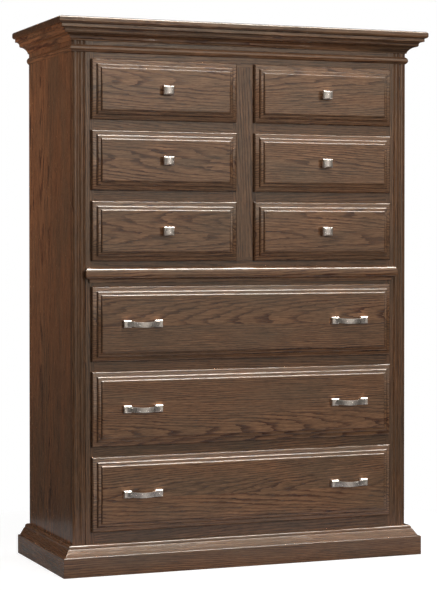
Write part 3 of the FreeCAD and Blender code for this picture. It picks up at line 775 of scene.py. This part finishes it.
def finish(slot):
    """The finish of a slot, made the first time it is asked for."""
    sizes, colours = bpy.context.scene.chest_sizes, bpy.context.scene.chest_colours
    if slot not in FINISHES:
        FINISHES[slot] = {
            "stained_oak": lambda: stained_oak(sizes, colours),
            "drawer_maple": lambda: plain_wood(
                "lacquered_maple", colours.maple, colours.maple_line, ring=14, plies=0
            ),
            "case_plywood": lambda: plain_wood(
                "birch_plywood", colours.birch, colours.birch_core, ring=22, plies=1.5
            ),
            "back_plywood": lambda: plain_wood(
                "stained_plywood", colours.back, colours.back_line, ring=22, plies=1.5
            ),
            "satin_nickel": lambda: brushed_metal(
                "brushed_nickel", colours.nickel, rough=0.28, along=0.5, across=8, shade=0.9
            ),
            "zinc_steel": lambda: brushed_metal(
                "zinc_plate", colours.zinc, rough=0.36, along=1.5, across=1.5, shade=0.82
            ),
        }[slot]()
    return FINISHES[slot]


# Pieces

# Mouldings, each with the function that reshapes it
MOULDINGS = {
    "crown_moulding": None,
    "bead_moulding": None,
    "waist_moulding": shape_waist,
    "base_moulding": shape_base,
}


class CHEST_OT_case(bpy.types.Operator):
    """Top, mouldings, face frame and sides in stained oak"""

    bl_idname = "chest.case"
    bl_label = "Oak case"

    def execute(self, context):
        ease = context.scene.chest_sizes.edge_ease
        wooden("top_board", "stained_oak", ease, boards=3)
        for node, reshape in MOULDINGS.items():
            wooden(node, "stained_oak", ease, aside=0.12, reshape=reshape)
        for node in FACE_FRAME:
            # The face frame is drawn darker than the other oak, by a tone scale of 0.74
            wooden(node, "stained_oak", aside=0.09, stain=0.74)
        for node in ("left_side_panel", "right_side_panel"):
            wooden(node, "stained_oak", ease, aside=0.2, boards=4)
        return {"FINISHED"}


class CHEST_OT_fronts(bpy.types.Operator):
    """Raised drawer fronts, each glued from two boards with their own arches"""

    bl_idname = "chest.fronts"
    bl_label = "Drawer fronts"

    def execute(self, context):
        ease = context.scene.chest_sizes.edge_ease
        for drawer in DRAWERS:
            wooden(
                drawer + "_front", "stained_oak", ease, depth=(0.03, 0.08), lean=0.05, boards=2,
                reshape=plane_bands,
            )
        return {"FINISHED"}


class CHEST_OT_boxes(bpy.types.Operator):
    """Dovetailed maple boxes behind the fronts"""

    bl_idname = "chest.boxes"
    bl_label = "Drawer boxes"

    def execute(self, context):
        for drawer in DRAWERS:
            wooden(drawer + "_box", "drawer_maple", depth=(0.05, 0.2), lean=0.02)
        return {"FINISHED"}


class CHEST_OT_carcass(bpy.types.Operator):
    """Plywood decks, partition, cleats and back"""

    bl_idname = "chest.carcass"
    bl_label = "Plywood carcass"

    def execute(self, context):
        for node in PLYWOOD_NODES:
            wooden(node, "case_plywood", depth=(0.0, 0.001), lean=0.0)
        wooden("back_panel", "back_plywood", depth=(0.0, 0.001), lean=0.0)
        return {"FINISHED"}


class CHEST_OT_knobs(bpy.types.Operator):
    """Block knobs of the six small drawers"""

    bl_idname = "chest.knobs"
    bl_label = "Knobs"

    def execute(self, context):
        pattern = model_knob(context.scene.chest_sizes)
        for drawer in SMALL_DRAWERS:
            copy_to(pattern, drawer + "_knob_block", face_of(drawer), drawer + "_knob", "satin_nickel")
        bpy.data.objects.remove(pattern)
        return {"FINISHED"}


class CHEST_OT_pulls(bpy.types.Operator):
    """Bow pulls of the three wide drawers"""

    bl_idname = "chest.pulls"
    bl_label = "Pulls"

    def execute(self, context):
        sizes = context.scene.chest_sizes
        pattern = model_pull(sizes)
        for drawer in WIDE_DRAWERS:
            for side, place in pull_places(drawer, sizes).items():
                copy_to(pattern, drawer + "_" + side + "_pull", place, drawer + "_pulls", "satin_nickel")
        bpy.data.objects.remove(pattern)
        return {"FINISHED"}


class CHEST_OT_screws(bpy.types.Operator):
    """Screws that hold the knobs and pulls from inside the drawers"""

    bl_idname = "chest.screws"
    bl_label = "Handle screws"

    def execute(self, context):
        sizes = context.scene.chest_sizes
        pattern = model_screw(sizes)
        half = Vector((sizes.pull_centres / 2, 0.0, 0.0))
        for drawer in DRAWERS:
            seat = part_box(drawer + "_box")[0][1] + sizes.sub_front
            if drawer in SMALL_DRAWERS:
                node, places = drawer + "_knob", [face_of(drawer)]
            else:
                node = drawer + "_pulls"
                middles = pull_places(drawer, sizes).values()
                places = [middle + step for middle in middles for step in (-half, half)]
            for number, place in enumerate(places, 1):
                place.y = seat
                copy_to(pattern, drawer + "_handle_screw_" + str(number), place, node, "satin_nickel")
        bpy.data.objects.remove(pattern)
        return {"FINISHED"}


class CHEST_OT_slides(bpy.types.Operator):
    """Zinc finish on the telescopic slides"""

    bl_idname = "chest.slides"
    bl_label = "Slides"

    def execute(self, context):
        for name, node in frame["nodes"].items():
            if "slide" in name and name != "slide_cleats":
                node.data.materials.clear()
                node.data.materials.append(finish("zinc_steel"))
        return {"FINISHED"}


# Stage

class CHEST_OT_stage(bpy.types.Operator):
    """White studio, its lamps and the camera"""

    bl_idname = "chest.stage"
    bl_label = "Studio"

    def execute(self, context):
        scene = context.scene
        scene.view_settings.view_transform = "Standard"
        self.lay_floor(scene)
        self.light_world(scene)
        # The lamps only light, and what shiny faces mirror is painted in the world
        white, warm = (1.0, 1.0, 1.0), (1.0, 0.74, 0.56)
        for name, place, aim, size, power, tint, spread in (
            ("overhead_light", (-0.3, -1.75, 3.3), (-0.3, -1.75, 0.0), (2.2, 2.6), 46.0, white, 180),
            ("key_light", (1.3, -5.3, 2.1), (-0.1, -0.2, 0.8), (0.8, 0.8), 95.0, white, 180),
            ("side_light", (-2.0, 1.9, 1.0), (-0.5, 0.0, 1.9), (0.9, 0.9), 21.0, warm, 92),
            ("fill_light", (2.4, 1.9, 1.5), (0.5, 0.0, 0.9), (1.0, 1.0), 60.0, white, 180),
        ):
            self.hang_light(scene, name, Vector(place), Vector(aim), size, power, tint, spread)
        self.set_camera(scene)
        return {"FINISHED"}

    def lay_floor(self, scene):
        """Disc that catches the chest's shadow and glows as white as the room for the camera."""
        radius, glow = 1.15, 0.84
        bpy.ops.object.select_all(action="DESELECT")
        bpy.ops.mesh.primitive_circle_add(vertices=64, radius=radius, fill_type="NGON")
        floor = bpy.context.object
        floor.name = "floor"
        material, tree = blank("studio_floor")
        diffuse = add(tree, "ShaderNodeBsdfDiffuse", None, {"Color": scene.chest_colours.floor})
        # Painted reflection: lacquer and nickel see the floor glow pale in front of the chest and dark
        # behind it
        place = add(tree, "ShaderNodeTexCoord", output="Object")
        back = add(tree, "ShaderNodeSeparateXYZ", None, {0: place}, "Y")
        mirrored = add(
            tree, "ShaderNodeMapRange", SOFT_ENDS,
            {"Value": back, "From Min": -0.5, "From Max": -0.2, "To Min": 0.6, "To Max": 0.08},
        )
        level = self.seen(tree, mirrored)
        strength = add(tree, "ShaderNodeMath", MULTIPLY, {0: level, 1: glow})
        shine = add(tree, "ShaderNodeEmission", None, {"Color": (1.0, 1.0, 1.0, 1.0), "Strength": strength})
        both = add(tree, "ShaderNodeAddShader", None, {0: diffuse, 1: shine})
        add(tree, "ShaderNodeOutputMaterial", None, {"Surface": both})
        floor.data.materials.append(material)

    def seen(self, tree, glossy):
        """One for rays from the camera or through glass, a share or a node's output for rays off shiny
        faces, and zero for rays that carry light."""
        shares = (("Is Camera Ray", 1.0), ("Is Transmission Ray", 1.0), ("Is Glossy Ray", glossy))
        total = 0.0
        for ray, share in shares:
            here = add(tree, "ShaderNodeLightPath", output=ray)
            total = add(tree, "ShaderNodeMath", MULTIPLY_ADD, {0: here, 1: share, 2: total})
        return total

    def light_world(self, scene):
        """White for the camera. Lacquer and nickel see it dark, with a bright patch on the viewer's right,
        pale walls left and right and a softbox high over the fronts."""
        toward_viewer, softbox = (0.2, -0.98, 0.0), 48.0
        world = bpy.data.worlds.new("studio")
        world.use_nodes = True
        scene.world = world
        tree = world.node_tree
        tree.nodes.clear()
        way = add(tree, "ShaderNodeTexCoord", output="Generated")
        beside, back, height = [add(tree, "ShaderNodeSeparateXYZ", None, {0: way}, axis) for axis in "XYZ"]
        ahead = add(
            tree, "ShaderNodeVectorMath", {"operation": "DOT_PRODUCT"}, {0: way, 1: toward_viewer}, "Value"
        )
        ahead = add(
            tree, "ShaderNodeMapRange", SOFT_ENDS,
            {"Value": ahead, "From Min": 0.9, "From Max": 1.0, "To Min": 0.0, "To Max": 1.3},
        )
        rise = add(
            tree, "ShaderNodeMapRange", None,
            {"Value": height, "From Min": -0.06, "From Max": 0.12, "To Min": 0.4, "To Max": 1.6},
        )
        mirrored = add(tree, "ShaderNodeMath", MULTIPLY, {0: ahead, 1: rise})
        right = add(
            tree, "ShaderNodeMapRange", SOFT_ENDS, {"Value": beside, "From Min": 0.05, "From Max": 0.3}
        )
        mirrored = add(tree, "ShaderNodeMath", MULTIPLY, {0: mirrored, 1: right})
        # Pale walls left and right
        beside = add(tree, "ShaderNodeMath", {"operation": "ABSOLUTE"}, {0: beside})
        walls = add(
            tree, "ShaderNodeMapRange", SOFT_ENDS,
            {"Value": beside, "From Min": 0.8, "From Max": 0.98, "To Min": 0.05, "To Max": 0.25},
        )
        mirrored = add(tree, "ShaderNodeMath", {"operation": "ADD"}, {0: mirrored, 1: walls})
        # A softbox high over the fronts with a faint glow below it, which only shiny faces see
        over = add(
            tree, "ShaderNodeMapRange", SOFT_ENDS, {"Value": height, "From Min": 0.82, "From Max": 0.89}
        )
        skirt = add(
            tree, "ShaderNodeMapRange", SOFT_ENDS,
            {"Value": height, "From Min": 0.1, "From Max": 0.35, "To Min": 0.0, "To Max": 0.038},
        )
        over = add(tree, "ShaderNodeMath", {"operation": "MAXIMUM"}, {0: over, 1: skirt})
        front = add(
            tree, "ShaderNodeMapRange", SOFT_ENDS,
            {"Value": back, "From Min": -0.12, "From Max": 0.02, "To Min": softbox, "To Max": 0.0},
        )
        mirrored = add(tree, "ShaderNodeMath", MULTIPLY_ADD, {0: over, 1: front, 2: mirrored})
        level = self.seen(tree, mirrored)
        # What lights the matt faces comes from above
        above = add(
            tree, "ShaderNodeMapRange", None,
            {"Value": height, "From Min": -0.3, "From Max": 0.5, "To Min": 0.03, "To Max": 0.2},
        )
        lit = add(tree, "ShaderNodeLightPath", output="Is Diffuse Ray")
        level = add(tree, "ShaderNodeMath", MULTIPLY_ADD, {0: lit, 1: above, 2: level})
        # Away from the softbox, shiny faces see it warm
        shiny = add(tree, "ShaderNodeLightPath", output="Is Glossy Ray")
        clamped = {"operation": "SUBTRACT", "use_clamp": True}
        aside = add(tree, "ShaderNodeMath", clamped, {0: shiny, 1: over})
        white, warm, cream = (1.0, 1.0, 1.0, 1.0), (1.0, 0.95, 0.83, 1.0), (1.0, 1.0, 0.94, 1.0)
        high = add(tree, "ShaderNodeMix", COLOUR_MIX, {SHARE: shiny, FIRST: white, SECOND: cream})
        tint = add(tree, "ShaderNodeMix", COLOUR_MIX, {SHARE: aside, FIRST: high, SECOND: warm})
        sky = add(tree, "ShaderNodeBackground", None, {"Color": tint, "Strength": level})
        add(tree, "ShaderNodeOutputWorld", None, {"Surface": sky})

    def hang_light(self, scene, name, place, aim, size, power, tint, spread):
        """Area lamp at a place, turned to its aim. Shiny faces don't mirror it."""
        lamp = bpy.data.lights.new(name, "AREA")
        lamp.shape = "RECTANGLE"
        lamp.size, lamp.size_y = size
        lamp.energy = power
        lamp.color = tint
        lamp.spread = math.radians(spread)
        light = bpy.data.objects.new(name, lamp)
        light.location = place
        light.rotation_euler = (aim - place).to_track_quat("-Z", "Y").to_euler()
        light.visible_glossy = False
        scene.collection.objects.link(light)

    def set_camera(self, scene):
        """Where the photograph was taken from, found by fitting the chest's corners to it."""
        lens = bpy.data.cameras.new("camera")
        lens.sensor_width = 36.0
        lens.lens = 114.27
        lens.shift_y = -0.039
        camera = bpy.data.objects.new("camera", lens)
        camera.location = (-2.13236, -5.34156, 0.96564)
        camera.rotation_euler = (math.radians(89.0), 0.0, math.radians(-21.7355))
        scene.collection.objects.link(camera)
        scene.camera = camera


class CHEST_PT_panel(bpy.types.Panel):
    """Sizes, colours and groups of pieces of the chest"""

    bl_idname = "CHEST_PT_panel"
    bl_label = "Chest on chest"
    bl_space_type = "VIEW_3D"
    bl_region_type = "UI"
    bl_category = "Chest"

    def draw(self, context):
        for group in (context.scene.chest_sizes, context.scene.chest_colours):
            for name in group.__annotations__:
                self.layout.prop(group, name)
        for operator in OPERATORS:
            self.layout.operator(operator.bl_idname)


OPERATORS = [
    CHEST_OT_case, CHEST_OT_fronts, CHEST_OT_boxes, CHEST_OT_carcass, CHEST_OT_knobs, CHEST_OT_pulls,
    CHEST_OT_screws, CHEST_OT_slides, CHEST_OT_stage,
]
CLASSES = [ChestSizes, ChestColours] + OPERATORS + [CHEST_PT_panel]


def register():
    for kind in CLASSES:
        bpy.utils.register_class(kind)
    bpy.types.Scene.chest_sizes = bpy.props.PointerProperty(type=ChestSizes)
    bpy.types.Scene.chest_colours = bpy.props.PointerProperty(type=ChestColours)


def unregister():
    del bpy.types.Scene.chest_colours
    del bpy.types.Scene.chest_sizes
    for kind in reversed(CLASSES):
        bpy.utils.unregister_class(kind)


def main():
    register()
    bpy.ops.chest.case()
    bpy.ops.chest.fronts()
    bpy.ops.chest.boxes()
    bpy.ops.chest.carcass()
    bpy.ops.chest.knobs()
    bpy.ops.chest.pulls()
    bpy.ops.chest.screws()
    bpy.ops.chest.slides()
    bpy.ops.chest.stage()


if __name__ == "__main__":
    main()
